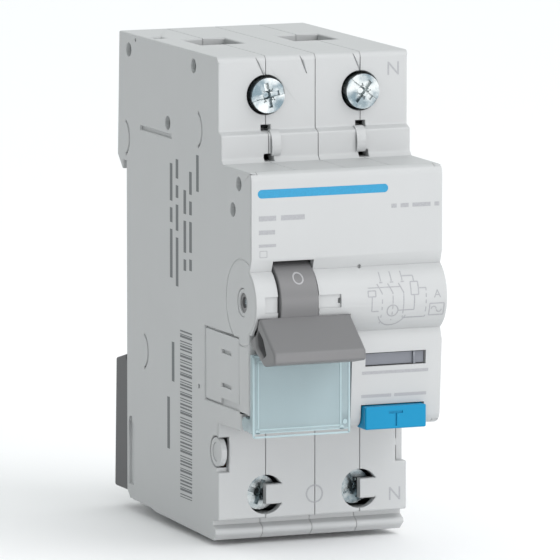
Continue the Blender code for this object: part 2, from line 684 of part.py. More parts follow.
build_housing()
build_front_cover()
build_side_pieces()
build_toggle()
build_contacts()
build_trip()
build_terminals()
build_residual_side()
build_test_button()
build_indicator()
build_label()
build_rail_clip()
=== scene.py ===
import json
import math

import bmesh
import bpy
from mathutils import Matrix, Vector


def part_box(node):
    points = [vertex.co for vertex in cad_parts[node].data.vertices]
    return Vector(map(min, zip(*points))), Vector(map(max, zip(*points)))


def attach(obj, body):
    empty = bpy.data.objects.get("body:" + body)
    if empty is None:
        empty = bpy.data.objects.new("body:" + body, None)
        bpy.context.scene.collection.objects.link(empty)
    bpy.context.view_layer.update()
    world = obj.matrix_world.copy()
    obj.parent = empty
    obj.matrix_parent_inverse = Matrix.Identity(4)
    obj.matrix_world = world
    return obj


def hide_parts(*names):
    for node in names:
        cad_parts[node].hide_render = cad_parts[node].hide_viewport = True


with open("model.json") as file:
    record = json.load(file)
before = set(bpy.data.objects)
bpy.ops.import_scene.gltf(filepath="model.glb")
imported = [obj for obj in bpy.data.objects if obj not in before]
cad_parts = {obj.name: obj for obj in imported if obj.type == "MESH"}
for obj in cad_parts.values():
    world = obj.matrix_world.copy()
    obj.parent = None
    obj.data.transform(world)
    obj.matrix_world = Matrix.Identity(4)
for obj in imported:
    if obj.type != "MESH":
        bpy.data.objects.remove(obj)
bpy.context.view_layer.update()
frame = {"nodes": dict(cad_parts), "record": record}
nodes = frame["nodes"]
mm = 0.001
print("frame loaded with", len(nodes), "nodes")


# finishes: a socket with arithmetic, and the recipes that use it


class Wire:
    def __init__(self, tree, socket):
        self.tree = tree
        self.socket = socket

    def node(self, kind, settings, inputs, output=0):
        made = self.tree.nodes.new(kind)
        for name, value in settings.items():
            if name == "stops":
                ramp = made.color_ramp.elements
                while len(ramp) < len(value):
                    ramp.new(0.5)
                for element, (place, shade) in zip(ramp, value):
                    element.position = place
                    element.color = shade
            else:
                setattr(made, name, value)
        for name, value in inputs.items():
            feed(self.tree, made.inputs[name], value)
        return Wire(self.tree, made.outputs[output])

    def sum(self, operation, first, second):
        return self.node("ShaderNodeMath", {"operation": operation}, {0: first, 1: second})

    def __add__(self, other):
        return self.sum("ADD", self, other)

    def __radd__(self, other):
        return self.sum("ADD", other, self)

    def __sub__(self, other):
        return self.sum("SUBTRACT", self, other)

    def __rsub__(self, other):
        return self.sum("SUBTRACT", other, self)

    def __mul__(self, other):
        return self.sum("MULTIPLY", self, other)

    def __rmul__(self, other):
        return self.sum("MULTIPLY", other, self)

    def noise(self, scale, detail=2.0, rough=0.5):
        inputs = {"Vector": self, "Scale": scale, "Detail": detail, "Roughness": rough}
        return self.node("ShaderNodeTexNoise", {}, inputs)

    def stretched(self, x, y, z):
        return self.node("ShaderNodeMapping", {}, {"Vector": self, "Scale": (x, y, z)})

    def between(self, low, high):
        # 0 under low, 1 over high, smooth in the middle
        settings = {"interpolation_type": "SMOOTHSTEP"}
        inputs = {"Value": self, "From Min": low, "From Max": high}
        return self.node("ShaderNodeMapRange", settings, inputs)

    def blend(self, first, second):
        # this value mixes two colours
        return self.node("ShaderNodeMix", {"data_type": "RGBA"}, {0: self, 6: first, 7: second}, 2)

    def bump(self, depth, strength=1.0):
        return self.node("ShaderNodeBump", {}, {"Height": self, "Distance": depth, "Strength": strength})


def feed(tree, socket, value):
    if isinstance(value, Wire):
        tree.links.new(value.socket, socket)
    else:
        socket.default_value = value


def newFinish(name, recipe):
    material = bpy.data.materials.new(name)
    material.use_nodes = True
    tree = material.node_tree
    shader = tree.nodes["Principled BSDF"]
    place = Wire(tree, tree.nodes.new("ShaderNodeTexCoord").outputs["Object"])
    for socket, value in recipe(place).items():
        feed(tree, shader.inputs[socket], value)
    return material


def tone(colour, factor):
    return (*[min(1.0, part * factor) for part in colour], 1.0)


def moulded(colour, rough, drift=0.03, grain=0.010, fixed=None):
    # injection moulded plastic: slow drift of tone, spark-eroded grain, slightly uneven gloss
    def recipe(place):
        cloud = place.noise(90, 3)
        flow = place.stretched(260, 260, 45).noise(1.0, 2)
        speck = place.noise(3800, 3, 0.65)
        shade = (cloud * 0.6 + flow * 0.4).blend(tone(colour, 1 - drift), tone(colour, 1 + drift))
        return {
            "Base Color": shade,
            "Roughness": rough - 0.05 + 0.1 * speck,
            "Normal": (speck + 0.25 * cloud).bump(grain * mm, 0.6),
            **(fixed or {}),
        }
    return recipe


def metal(colour, rough, brush=(900, 900, 60), drift=0.1):
    # rolled or plated metal: fine draw lines one way, patches of plating or tarnish
    def recipe(place):
        lines = place.stretched(*brush).noise(6.0, 2, 0.7)
        patch = place.noise(420, 4, 0.6)
        shade = patch.between(0.35, 0.7).blend(tone(colour, 1 - drift), tone(colour, 1 + drift))
        return {
            "Base Color": shade,
            "Metallic": 1.0,
            "Roughness": rough + 0.14 * (patch - 0.5) + 0.08 * lines,
            "Normal": (lines + 0.5 * patch).bump(0.012 * mm, 0.5),
        }
    return recipe


def plated(colour, rough):
    # blue zinc on a turned head: spread of blue and straw tints over fine turning marks
    def recipe(place):
        tint = place.noise(330, 3)
        turned = place.stretched(2600, 400, 2600).noise(1.0, 3, 0.7)
        shade = tint.between(0.35, 0.65).blend(tone(colour, 0.8), (0.50, 0.53, 0.53, 1))
        return {
            "Base Color": shade,
            "Metallic": 1.0,
            "Roughness": rough + 0.12 * turned,
            "Normal": turned.bump(0.02 * mm, 0.6),
        }
    return recipe


def clearMoulding(colour, alpha):
    def recipe(place):
        flow = place.stretched(120, 120, 30).noise(1.0, 2)
        scuff = place.noise(1500, 4, 0.7).between(0.6, 0.8)
        return {
            "Base Color": flow.blend(tone(colour, 0.96), tone(colour, 1.05)),
            "Roughness": 0.1 + 0.18 * scuff,
            "Alpha": alpha + 0.06 * flow,
            "Normal": flow.bump(0.05 * mm, 0.3),
            "IOR": 1.49,
        }
    return recipe


def printed(colour, rough=0.5):
    # pad printing: slightly uneven ink
    def recipe(place):
        ink = place.noise(5200, 3, 0.7)
        return {
            "Base Color": ink.between(0.3, 0.75).blend(tone(colour, 0.92), tone(colour, 1.12)),
            "Roughness": rough + 0.12 * ink,
            "Normal": ink.bump(0.004 * mm, 0.4),
        }
    return recipe


def board(colour):
    def recipe(place):
        weave = place.stretched(2200, 2200, 2200).noise(1.0, 1)
        tracks = place.stretched(1, 420, 420).noise(1.0, 0).between(0.52, 0.56)
        return {
            "Base Color": tracks.blend(tone(colour, 1.0), tone(colour, 1.9)),
            "Roughness": 0.35 + 0.15 * weave,
            "Normal": (tracks + 0.2 * weave).bump(0.02 * mm, 0.5),
        }
    return recipe


colours = {
    "housing": (0.455, 0.465, 0.468),
    "lever": (0.152, 0.152, 0.155),
    "foot": (0.074, 0.075, 0.078),
    "inner": (0.12, 0.12, 0.13),
    "clear": (0.43, 0.54, 0.57),
    "card": (0.45, 0.51, 0.53),
    # a touch lighter than the clear moulding: painted highlight for the bright edges of the clear cover
    "clearRidgeHighlight": (0.43, 0.55, 0.58),
    "lens": (0.18, 0.19, 0.215),
    "blue": (0.002, 0.225, 0.42),
    "barInk": (0.012, 0.25, 0.45),
    "faintInk": (0.335, 0.34, 0.355),
    "sideInk": (0.13, 0.14, 0.145),
}

finishes = {
    "housing_plastic": newFinish("light grey moulding", moulded(colours["housing"], 0.46)),
    "grey_plastic": newFinish("lever grey moulding", moulded(colours["lever"], 0.42, 0.05)),
    "dark_grey_plastic": newFinish("foot grey moulding", moulded(colours["foot"], 0.5, 0.05, 0.016)),
    "inner_plastic": newFinish("inner moulding", moulded(colours["inner"], 0.55, 0.08)),
    "clear_cover": newFinish("clear moulding", clearMoulding(colours["clear"], 0.5)),
    # more opaque and lighter than the cover itself, so its ridges show as painted highlight lines along
    # the edges
    "clearRidgeHighlight": newFinish("clear moulding painted edge highlight", clearMoulding(colours["clearRidgeHighlight"], 0.8)),
    "paper_label": newFinish("card", moulded(colours["card"], 0.8, 0.03, 0.02)),
    "lens_plastic": newFinish("smoked lens", moulded(colours["lens"], 0.12, 0.12, 0.002)),
    "blue_plastic": newFinish(
        "blue moulding",
        moulded(colours["blue"], 0.4, 0.05, 0.006, {"Specular IOR Level": 0.2}),
    ),
    "flag_yellow": newFinish("yellow moulding", moulded((0.75, 0.5, 0.03), 0.5)),
    "zinc_steel": newFinish("blue zinc plate", plated((0.17, 0.23, 0.26), 0.2)),
    "spring_steel": newFinish("spring wire", metal((0.45, 0.45, 0.46), 0.3)),
    "copper": newFinish("bare copper", metal((0.72, 0.36, 0.2), 0.3, drift=0.2)),
    "brass": newFinish("rolled brass", metal((0.7, 0.55, 0.25), 0.3)),
    "soft_iron": newFinish("soft iron", metal((0.34, 0.34, 0.35), 0.45)),
    "circuit_board": newFinish("laminate", board((0.02, 0.17, 0.08))),
    "wire_insulation": newFinish("wire sleeve", moulded((0.03, 0.09, 0.36), 0.4)),
    "ceramic": newFinish("ceramic", moulded((0.5, 0.42, 0.3), 0.75, 0.1, 0.03)),
    "barInk": newFinish("blue ink", printed(colours["barInk"])),
    "faintInk": newFinish("pale ink", printed(colours["faintInk"])),
    "sideInk": newFinish("dark ink", printed(colours["sideInk"])),
    "leverInk": newFinish("light ink", printed((0.36, 0.36, 0.37))),
}
for entry in frame["record"]["subparts"]:
    shown = nodes[entry["node"]]
    shown.data.materials.clear()
    shown.data.materials.append(finishes[entry["material_slot"]])
print("finishes made:", len(finishes))


# hand tools


def clearSelection():
    if bpy.context.mode != "OBJECT":
        bpy.ops.object.mode_set(mode="OBJECT")
    bpy.ops.object.select_all(action="DESELECT")


def pick(piece):
    clearSelection()
    piece.select_set(True)
    bpy.context.view_layer.objects.active = piece
    return piece


def edit(piece):
    pick(piece)
    bpy.ops.object.mode_set(mode="EDIT")
    bpy.ops.mesh.select_all(action="SELECT")


def endEdit():
    bpy.ops.object.mode_set(mode="OBJECT")


def modify(piece, kind, **settings):
    pick(piece)
    modifier = piece.modifiers.new(kind.lower(), kind)
    for name, value in settings.items():
        setattr(modifier, name, value)
    bpy.ops.object.modifier_apply(modifier=modifier.name)
    return piece


def bevelled(piece, width, angle):
    # softens every edge sharper than the angle
    return modify(
        piece,
        "BEVEL",
        width=width * mm,
        segments=2,
        limit_method="ANGLE",
        angle_limit=math.radians(angle),
    )


def block(x, y, z, turn=0.0):
    # a cutter or a start, between two ends on each axis, in millimetres
    clearSelection()
    spans = (x, y, z)
    bpy.ops.mesh.primitive_cube_add(
        size=1,
        location=[sum(span) / 2 * mm for span in spans],
        rotation=(0, turn, 0),
        scale=[(span[1] - span[0]) * mm for span in spans],
    )
    piece = bpy.context.object
    bpy.ops.object.transform_apply(location=True, rotation=True, scale=True)
    return piece


turns = {"X": (0, math.pi / 2, 0), "Y": (math.pi / 2, 0, 0), "Z": (0, 0, 0)}


def barrel(centre, radius, axis, sides=48, deep=1.0, far=None):
    # a cylinder, or a cone when far is another radius
    clearSelection()
    bpy.ops.mesh.primitive_cone_add(
        vertices=sides,
        radius1=radius * mm,
        radius2=(radius if far is None else far) * mm,
        depth=deep * mm,
        location=[part * mm for part in centre],
        rotation=turns[axis],
    )
    piece = bpy.context.object
    bpy.ops.object.transform_apply(location=True, rotation=True, scale=True)
    return piece


def joined(pieces, name):
    clearSelection()
    for piece in pieces:
        piece.select_set(True)
    bpy.context.view_layer.objects.active = pieces[0]
    if len(pieces) > 1:
        bpy.ops.object.join()
    whole = bpy.context.view_layer.objects.active
    whole.name = name
    return whole


def carve(piece, cutters):
    for cutter in cutters:
        modify(piece, "BOOLEAN", operation="DIFFERENCE", solver="EXACT", object=cutter)
        bpy.data.objects.remove(cutter)
    return piece


def mergedCopy(node):
    copy = bpy.data.objects.new(node + "_moulded", nodes[node].data.copy())
    bpy.context.scene.collection.objects.link(copy)
    pick(copy)
    if copy.data.has_custom_normals:
        bpy.ops.mesh.customdata_custom_splitnormals_clear()
    edit(copy)
    bpy.ops.mesh.remove_doubles(threshold=0.002 * mm)
    endEdit()
    return copy


def smooth(piece, angle=32):
    pick(piece)
    bpy.ops.object.shade_smooth_by_angle(angle=math.radians(angle))
    modify(piece, "WEIGHTED_NORMAL", keep_sharp=True, weight=60, use_face_influence=True)
    return piece


def boundsAndVolume(piece):
    mesh = bmesh.new()
    mesh.from_mesh(piece.data)
    bmesh.ops.triangulate(mesh, faces=mesh.faces)
    points = [vertex.co for vertex in mesh.verts]
    size = [max(point[i] for point in points) - min(point[i] for point in points) for i in range(3)]
    volume = abs(mesh.calc_volume())
    mesh.free()
    return size, volume


def roundEdges(piece, width, test, segments=3, sharp=28, shortest=0.45, merge=True):
    # rounds the sharp edges whose middle passes the test, which may answer with a share of the width;
    # short ones take half
    plain = piece.data.copy()
    size, volume = boundsAndVolume(piece)
    edit(piece)
    bpy.ops.mesh.dissolve_degenerate(threshold=0.001 * mm)
    if merge:
        bpy.ops.mesh.dissolve_limited(angle_limit=math.radians(0.5))
    else:
        bpy.ops.mesh.beautify_fill(angle_limit=math.radians(1))
    endEdit()
    mesh = bmesh.new()
    mesh.from_mesh(piece.data)
    weight = mesh.edges.layers.float.new("bevel_weight_edge")
    for edge in mesh.edges:
        if len(edge.link_faces) != 2 or edge.calc_face_angle() < math.radians(sharp):
            continue
        length = edge.calc_length() / mm
        if length > shortest:
            share = float(test((edge.verts[0].co + edge.verts[1].co) / 2 / mm))
            edge[weight] = share if length > 1.4 else share / 2
    mesh.to_mesh(piece.data)
    mesh.free()
    modify(
        piece,
        "BEVEL",
        width=width * mm,
        segments=segments,
        limit_method="WEIGHT",
        use_clamp_overlap=False,
        loop_slide=False,
        face_strength_mode="FSTR_ALL",
    )
    newSize, newVolume = boundsAndVolume(piece)
    grown = max(after - before for before, after in zip(size, newSize)) / mm
    if grown > 0.02 or abs(newVolume - volume) > 0.02 * volume:
        # a rounding that doesn't fit this piece is left out
        print("kept sharp:", piece.name, round(grown, 3), round(newVolume / volume, 4))
        piece.data = plain
    return smooth(piece)


def settle(piece, body, finish, slot, *replaced):
    piece.data.materials.clear()
    piece.data.materials.append(finishes[finish])
    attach(piece, body)
    if replaced:
        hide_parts(*replaced)
    return piece


def slat(start, end, width, thick=0.03):
    # one stroke in the plane of x and z, at y 0
    run = Vector((end[0] - start[0], end[1] - start[1]))
    middle = ((start[0] + end[0]) / 2, (start[1] + end[1]) / 2)
    half = run.length / 2
    turn = -math.atan2(run.y, run.x)
    clearSelection()
    bpy.ops.mesh.primitive_cube_add(
        size=1,
        location=(middle[0] * mm, 0, middle[1] * mm),
        rotation=(0, turn, 0),
        scale=(2 * half * mm, thick * mm, width * mm),
    )
    piece = bpy.context.object
    bpy.ops.object.transform_apply(location=True, rotation=True, scale=True)
    return piece


def path(points, width):
    return [slat(a, b, width) for a, b in zip(points, points[1:])]


def boxed(x0, x1, z0, z1, width):
    return path(((x0, z0), (x1, z0), (x1, z1), (x0, z1), (x0, z0)), width)


def circle(x, z, radius, width, count=20, start=0.0, end=360.0):
    points = []
    for step in range(count + 1):
        angle = math.radians(start + (end - start) * step / count)
        points.append((x + radius * math.cos(angle), z + radius * math.sin(angle)))
    return path(points, width)


def letter(text, x, z, size, thick=0.03):
    # a flat character in the plane of x and z, centred at x and z
    clearSelection()
    bpy.ops.object.text_add(location=(x * mm, 0, z * mm), rotation=(math.pi / 2, 0, 0))
    piece = bpy.context.object
    piece.data.body = text
    piece.data.size = size * mm
    piece.data.extrude = thick / 2 * mm
    piece.data.align_x = "CENTER"
    piece.data.align_y = "CENTER"
    piece.data.resolution_u = 6
    bpy.ops.object.convert(target="MESH")
    piece = bpy.context.object
    bpy.ops.object.transform_apply(location=True, rotation=True, scale=True)
    edit(piece)
    bpy.ops.mesh.remove_doubles(threshold=0.001 * mm)
    bpy.ops.mesh.normals_make_consistent(inside=False)
    endEdit()
    return piece


# the faces that print lies on

axis = {"y": -55.2, "z": -0.3, "bulge": 6.6, "drum": 7.2}
nose = {"y": -59.5, "top": 7.6, "low": -8.0, "slope": 0.9 / 12.6}
shoulderY = -44.0
sideX = -17.7


def noseFace(z):
    if z > nose["top"]:
        return nose["y"]
    if z < nose["low"]:
        return nose["y"] + (nose["low"] - z) * nose["slope"]
    reach = axis["bulge"] ** 2 - (z - axis["z"]) ** 2
    bulge = axis["y"] - math.sqrt(reach) if reach > 12.2 else -58.65
    return bulge


def drumFace(z):
    return axis["y"] - math.sqrt(max(0.0, axis["drum"] ** 2 - (z - axis["z"]) ** 2))


def shoulderFace(z):
    return shoulderY


def laid(piece, face):
    # strokes longer than the curve allows are split, then every point drops onto the face
    edit(piece)
    bpy.ops.mesh.subdivide(number_cuts=3)
    endEdit()
    for vertex in piece.data.vertices:
        vertex.co.y += face(vertex.co.z / mm) * mm
    return piece


def turnedToSide(piece):
    # from the plane of x and z to the left side: x becomes y
    for vertex in piece.data.vertices:
        vertex.co = Vector((sideX * mm - vertex.co.y, vertex.co.x, vertex.co.z))
    return piece


def inkOn(name, strokes, face, finish, slot="housing_plastic", body="housing"):
    return settle(laid(joined(strokes, name), face), body, finish, slot)


# housing

shellEdges = {"width": 0.28, "segments": 3, "seam": 0.25}


def onSkin(point):
    outside = abs(point.x) > 17.62 or point.z > 40.7 or point.z < -42.6
    front = point.y < -43.9 and abs(point.z) > 22.8
    return outside or front


def onNose(point):
    return abs(point.x) > 17.62 or point.y < -57.0 or abs(point.z) > 22.4


terminal = {
    "funnel": (((-10.9, 41.0), (-9.2, 37.4)), ((-2.6, 41.0), (-1.2, 37.4)), ((7.3, 41.0), (8.85, 37.3))),
    "lineWidth": 0.16,
    "lineDeep": 0.35,
    "sideRing": (7.6, 7.42),
    "dots": ((-4.7, 39.9, 0.35), (-34.9, -17.65, 0.45), (-2.0, -28.4, 0.9)),
}


def buildShells():
    for node in ("left_outer_shell", "left_inner_shell", "right_inner_shell", "right_outer_shell"):
        shell = mergedCopy(node)
        low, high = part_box(node)
        low, high = low.x / mm, high.x / mm
        cutters = []
        for (x0, z0), (x1, z1) in terminal["funnel"]:
            middle, length = ((x0 + x1) / 2, (z0 + z1) / 2), math.hypot(x1 - x0, z1 - z0)
            if low < middle[0] < high:
                half = terminal["lineWidth"] / 2
                cutters.append(
                    block(
                        (middle[0] - half, middle[0] + half),
                        (shoulderY - 1, shoulderY + terminal["lineDeep"]),
                        (middle[1] - length / 2, middle[1] + length / 2),
                        math.atan2(x1 - x0, z1 - z0),
                    )
                )
        if node == "left_outer_shell":
            for y, z, radius in terminal["dots"]:
                cutters.append(barrel((sideX, y, z), radius, "X", 24, 0.8))
            centre, (outer, inner) = (sideX, axis["y"], -0.35), terminal["sideRing"]
            ring = barrel(centre, outer, "X", 64, 0.24)
            cutters.append(carve(ring, [barrel(centre, inner, "X", 64, 1.0)]))
            cutters.append(block((-16.6, -14.4), (-11.6, -8.8), (40.0, 42.0)))
        carve(shell, cutters)
        seams = [x for x in (low, high) if abs(x) < 17.6]

        def share(point):
            onSeam = any(abs(point.x - x) < 0.05 for x in seams)
            return onSkin(point) * (shellEdges["seam"] if onSeam else 1.0)

        roundEdges(shell, shellEdges["width"], share, shellEdges["segments"], merge=False)
        settle(shell, "housing", "housing_plastic", "housing_plastic", node)


cover = {"edge": 0.4, "grooveMark": (2.5, 5.4, 0.35), "trackNotch": ((-2.5, -2.0), (-0.4, 0.5))}


def buildFrontCover():
    piece = mergedCopy("front_cover")
    x, z, radius = cover["grooveMark"]
    notchX, notchZ = cover["trackNotch"]
    cutters = [barrel((x, -58.6, z), radius, "Y", 20, 1.0), block(notchX, (-62, -60.6), notchZ)]
    carve(piece, cutters)
    roundEdges(piece, cover["edge"], onNose, 3, 24)
    settle(piece, "housing", "housing_plastic", "housing_plastic", "front_cover")


sidePlate = {
    "box": ((-17.6, -16.75), (-53.3, -37.9), (-19.2, -6.9)),
    "markX": (-17.9, -17.1),
    "markY": (-49.8, -45.2),
    "markZ": (-10.0, -15.9),
    "markHalf": 0.35,
    "slot": ((-17.9, -16.5), (-53.4, -45.0), (-19.3, -18.3)),
    "edge": 0.12,
}


def buildSidePieces():
    plate = block(*sidePlate["box"])
    plate.name = "accessory_cover_moulded"
    half = sidePlate["markHalf"]
    cutters = [
        block(sidePlate["markX"], sidePlate["markY"], (z - half, z + half))
        for z in sidePlate["markZ"]
    ]
    cutters.append(block(*sidePlate["slot"]))
    carve(plate, cutters)
    roundEdges(plate, sidePlate["edge"], lambda point: point.x < -17.5, 2)
    settle(plate, "housing", "housing_plastic", "housing_plastic", "accessory_cover")
    plug = mergedCopy("coupling_plug")
    carve(plug, [barrel((-17.6, -42.7, -28.05), 1.7, "X", 40, 0.3)])
    roundEdges(plug, 0.2, lambda point: point.x < -17.3, 3)
    settle(plug, "housing", "housing_plastic", "housing_plastic", "coupling_plug")
    centre = (-17.1, axis["y"], -0.35)
    bush = carve(barrel(centre, 2.42, "X", 48, 0.9), [barrel(centre, 1.75, "X", 48, 2.0)])
    bush.name = "axle_bush"
    bevelled(bush, 0.12, 50)
    settle(smooth(bush), "housing", "housing_plastic", "housing_plastic")
    for number in range(1, 6):
        node = f"housing_rivet_{number}"
        rivet = mergedCopy(node)
        low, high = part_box(node)
        middle = (low + high) / 2 / mm
        for x in (low.x / mm, high.x / mm):
            carve(rivet, [barrel((x, middle.y, middle.z), 0.55, "X", 20, 0.9)])
        roundEdges(rivet, 0.12, lambda point: True, 2)
        settle(rivet, "housing", "zinc_steel", "zinc_steel", node)


strap = {
    "wide": 1.7,
    "thick": 0.45,
    "path": (
        (-44.0, 27.75),
        (-44.8, 27.7),
        (-45.6, 27.0),
        (-46.0, 26.0),
        (-46.1, 25.0),
        (-45.95, 24.2),
        (-45.6, 23.75),
    ),
    "places": (-7.6, 8.3),
}


def buildStraps():
    for number, x in enumerate(strap["places"], 1):
        path = [Vector((0, y, z)) for y, z in strap["path"]]
        clearSelection()
        start = path[0]
        bpy.ops.mesh.primitive_plane_add(
            size=1,
            location=(x * mm, start.y * mm, start.z * mm),
            rotation=(math.pi / 2, 0, 0),
        )
        piece = bpy.context.object
        piece.scale = (strap["wide"] * mm, strap["thick"] * mm, 1)
        piece.name = f"terminal_strap_{number}"
        bpy.ops.object.transform_apply(location=True, rotation=True, scale=True)
        edit(piece)
        for before, after in zip(path, path[1:]):
            step = (after - before) * mm
            bpy.ops.mesh.extrude_region_move(TRANSFORM_OT_translate={"value": step})
        bpy.ops.mesh.select_all(action="SELECT")
        bpy.ops.mesh.remove_doubles(threshold=0.001 * mm)
        bpy.ops.mesh.normals_make_consistent(inside=False)
        endEdit()
        bevelled(piece, 0.12, 50)
        smooth(piece, 40)
        settle(piece, "housing", "housing_plastic", "housing_plastic")


entry = {"half": 4.0, "near": -24.3, "far": -15.0, "top": 40.4, "low": 37.0}


def buildEntryRamps():
    # the funnel floor on the left half of each upper conductor entry
    for number, x in enumerate((-8.85, 8.85), 1):
        piece = block(
            (x - entry["half"], x - 0.4),
            (entry["near"], entry["far"]),
            (entry["low"], entry["top"]),
        )
        piece.name = f"entry_ramp_{number}"
        edit(piece)
        bpy.ops.mesh.select_mode(type="VERT")
        bpy.ops.mesh.select_all(action="DESELECT")
        bpy.ops.object.mode_set(mode="OBJECT")
        for vertex in piece.data.vertices:
            vertex.select = vertex.co.z > 40 * mm and vertex.co.x > (x - 1) * mm
        bpy.ops.object.mode_set(mode="EDIT")
        bpy.ops.transform.translate(value=(0, 0, -2.6 * mm))
        endEdit()
        bevelled(piece, 0.15, 20)
        smooth(piece)
        settle(piece, "housing", "housing_plastic", "housing_plastic")


buildShells()
print("shells made")
buildFrontCover()
buildSidePieces()
buildStraps()
buildEntryRamps()
print("front cover, side pieces, straps and entry ramps made")


# toggle lever

lever = {"edge": 0.45, "markX": -9.7, "markZ": 4.2, "markSize": 1.75}


def buildLever():
    piece = mergedCopy("toggle_lever")
    # the crease above the lip
    carve(piece, [block((-18, 0), (-69.2, -68.75), (-7.0, -6.7))])
    roundEdges(piece, lever["edge"], lambda point: point.y < -58.0, 4, 24)
    settle(piece, "toggle", "grey_plastic", "grey_plastic", "toggle_lever")
    ring = joined(circle(lever["markX"], lever["markZ"], lever["markSize"] / 2, 0.24, 28), "off_mark")
    settle(laid(ring, drumFace), "toggle", "leverInk", "grey_plastic")


buildLever()
print("lever made")


# screws, terminals and clip

screw = {
    "radius": 3.05,
    "arm": (2.2, 0.43, 0.75),
    "slot": (3.4, 0.47, 0.35),
    "tick": (1.45, 0.13, 0.3),
    "edge": 0.28,
    "turns": (-12, 38, 20, 64),
}


def crossCut(x, y, z, size, turn):
    half, wide, deep = size
    return block((x - half, x + half), (y - 1, y + deep), (z - wide, z + wide), math.radians(turn))


def buildScrews():
    # a whole head fills the deep recess, then a shallower cross and slot are cut
    names = [(row, side) for row in ("upper", "lower") for side in ("phase", "neutral")]
    for (row, side), turn in zip(names, screw["turns"]):
        node = f"{row}_{side}_screw"
        piece = mergedCopy(node)
        low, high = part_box(node)
        x, z, y = (low.x + high.x) / 2 / mm, (low.z + high.z) / 2 / mm, low.y / mm
        rim = [
            point.co.y / mm
            for point in piece.data.vertices
            if math.hypot(point.co.x / mm - x, point.co.z / mm - z) > 2.7
        ]
        depth = max(rim) - y - 0.02
        head = barrel((x, y + depth / 2, z), screw["radius"], "Y", 64, depth)
        modify(piece, "BOOLEAN", operation="UNION", solver="EXACT", object=head)
        bpy.data.objects.remove(head)
        cutters = []
        for size, start in ((screw["arm"], 0), (screw["tick"], 45)):
            for quarter in (0, 90):
                cutters.append(crossCut(x, y, z, size, turn + start + quarter))
        cutters.append(crossCut(x, y, z, screw["slot"], turn))
        cutters.append(barrel((x, y + 0.5, z), 0.5, "Y", 24, 1.6, 1.25))
        carve(piece, cutters)

        def onRim(point):
            return point.y < y + 0.1 and math.hypot(point.x - x, point.z - z) > 2.8

        roundEdges(piece, screw["edge"], onRim, 3)
        settle(piece, f"{row}_{side}_screw", "zinc_steel", "zinc_steel", node)


def buildFoot():
    piece = mergedCopy("rail_clip")
    roundEdges(piece, 0.35, lambda point: True, 3)
    settle(piece, "rail_clip", "dark_grey_plastic", "dark_grey_plastic", "rail_clip")


buildScrews()
buildFoot()
print("screws and rail clip made")


# clear cover, test button and window

labelFrame = {
    "rims": ((-17.35, 0.4, -23.2, -9.25, 0.34), (-16.5, -1.2, -21.9, -10.1, 0.26)),
    "rail": (-17.2, 0.3, -22.5, 0.2),
    "bosses": ((-16.6, -22.3), (-1.0, -22.3), (-0.4, -21.3)),
    "y": -59.4,
}


def buildLabelCover():
    piece = mergedCopy("clear_label_cover")
    roundEdges(piece, 0.22, lambda point: True, 2)
    settle(piece, "label_cover", "clear_cover", "clear_cover", "clear_label_cover")
    # the rims, the rail and the corner bosses are real ridges of the cover; they carry the lighter, more
    # opaque clear finish as a painted highlight along the cover's edges
    strokes = []
    for x0, x1, z0, z1, width in labelFrame["rims"]:
        corners = ((x0, z0), (x1, z0), (x1, z1), (x0, z1), (x0, z0))
        strokes += [slat(a, b, width, 0.2) for a, b in zip(corners, corners[1:])]
    x0, x1, z, width = labelFrame["rail"]
    strokes.append(slat((x0, z), (x1, z), width, 0.2))
    laid(joined(strokes, "label_cover_ridge_highlight"), lambda z: labelFrame["y"])
    bosses = [barrel((x, labelFrame["y"], z), 0.42, "Y", 20, 0.2) for x, z in labelFrame["bosses"]]
    ridge = joined([strokes[0], *bosses], "label_cover_ridge_highlight")
    settle(ridge, "label_cover", "clearRidgeHighlight", "clear_cover")


button = {
    "edge": 0.3,
    "stem": (8.6, 9.0, -22.5, -19.9),
    "bar": (7.5, 10.1, -20.3, -19.9),
    "deep": 0.25,
    "y": -60.3,
}


def onButtonEdge(point):
    # the letter keeps its sharp edges
    return point.y < -59.9 and point.z < -22.5 or point.y < -57 and not 7.3 < point.x < 10.3


def buildButton():
    piece = mergedCopy("test_button")
    y = (button["y"] - 1, button["y"] + button["deep"])
    for x0, x1, z0, z1 in (button["stem"], button["bar"]):
        carve(piece, [block((x0, x1), y, (z0, z1))])
    roundEdges(piece, button["edge"], onButtonEdge, 3)
    settle(piece, "test_button", "blue_plastic", "blue_plastic", "test_button")


window = {"divider": 12.67, "z": (-12.0, -9.8)}


def buildWindow():
    x = window["divider"]
    bar = block((x - 0.2, x + 0.2), (-59.2, -58.72), window["z"])
    bar.name = "window_divider"
    modify(bar, "BEVEL", width=0.08 * mm, segments=2)
    smooth(bar)
    settle(bar, "housing", "lens_plastic", "lens_plastic")


buildLabelCover()
buildButton()
buildWindow()
print("label cover, test button and window made")


# print: plain bars and strokes stand for all wording

words = {
    "rating": (8.2, 15.7, (1.0, 1.5, 3.4, 0.9), 1.2),
    "type": (-16.4, 14.6, (3.2, 4.4), 1.5),
    "family": (-16.4, 12.2, (3.0,), 1.3),
    "capacity": (-16.4, 9.9, (3.2,), 0.9),
    "window": (2.9, -13.2, (12.4,), 0.95),
    "button": (2.9, -17.3, (5.6, 6.0), 0.95),
}


def wordRow(x, z, lengths, height):
    # one plain bar for each word
    strokes = []
    for length in lengths:
        strokes.append(slat((x, z), (x + length, z), height * 0.6))
        x += length + height * 0.6
    return strokes


diagram = {"line": 0.2, "poles": (5.6, 7.6, 9.6), "top": 4.4, "low": -4.5}


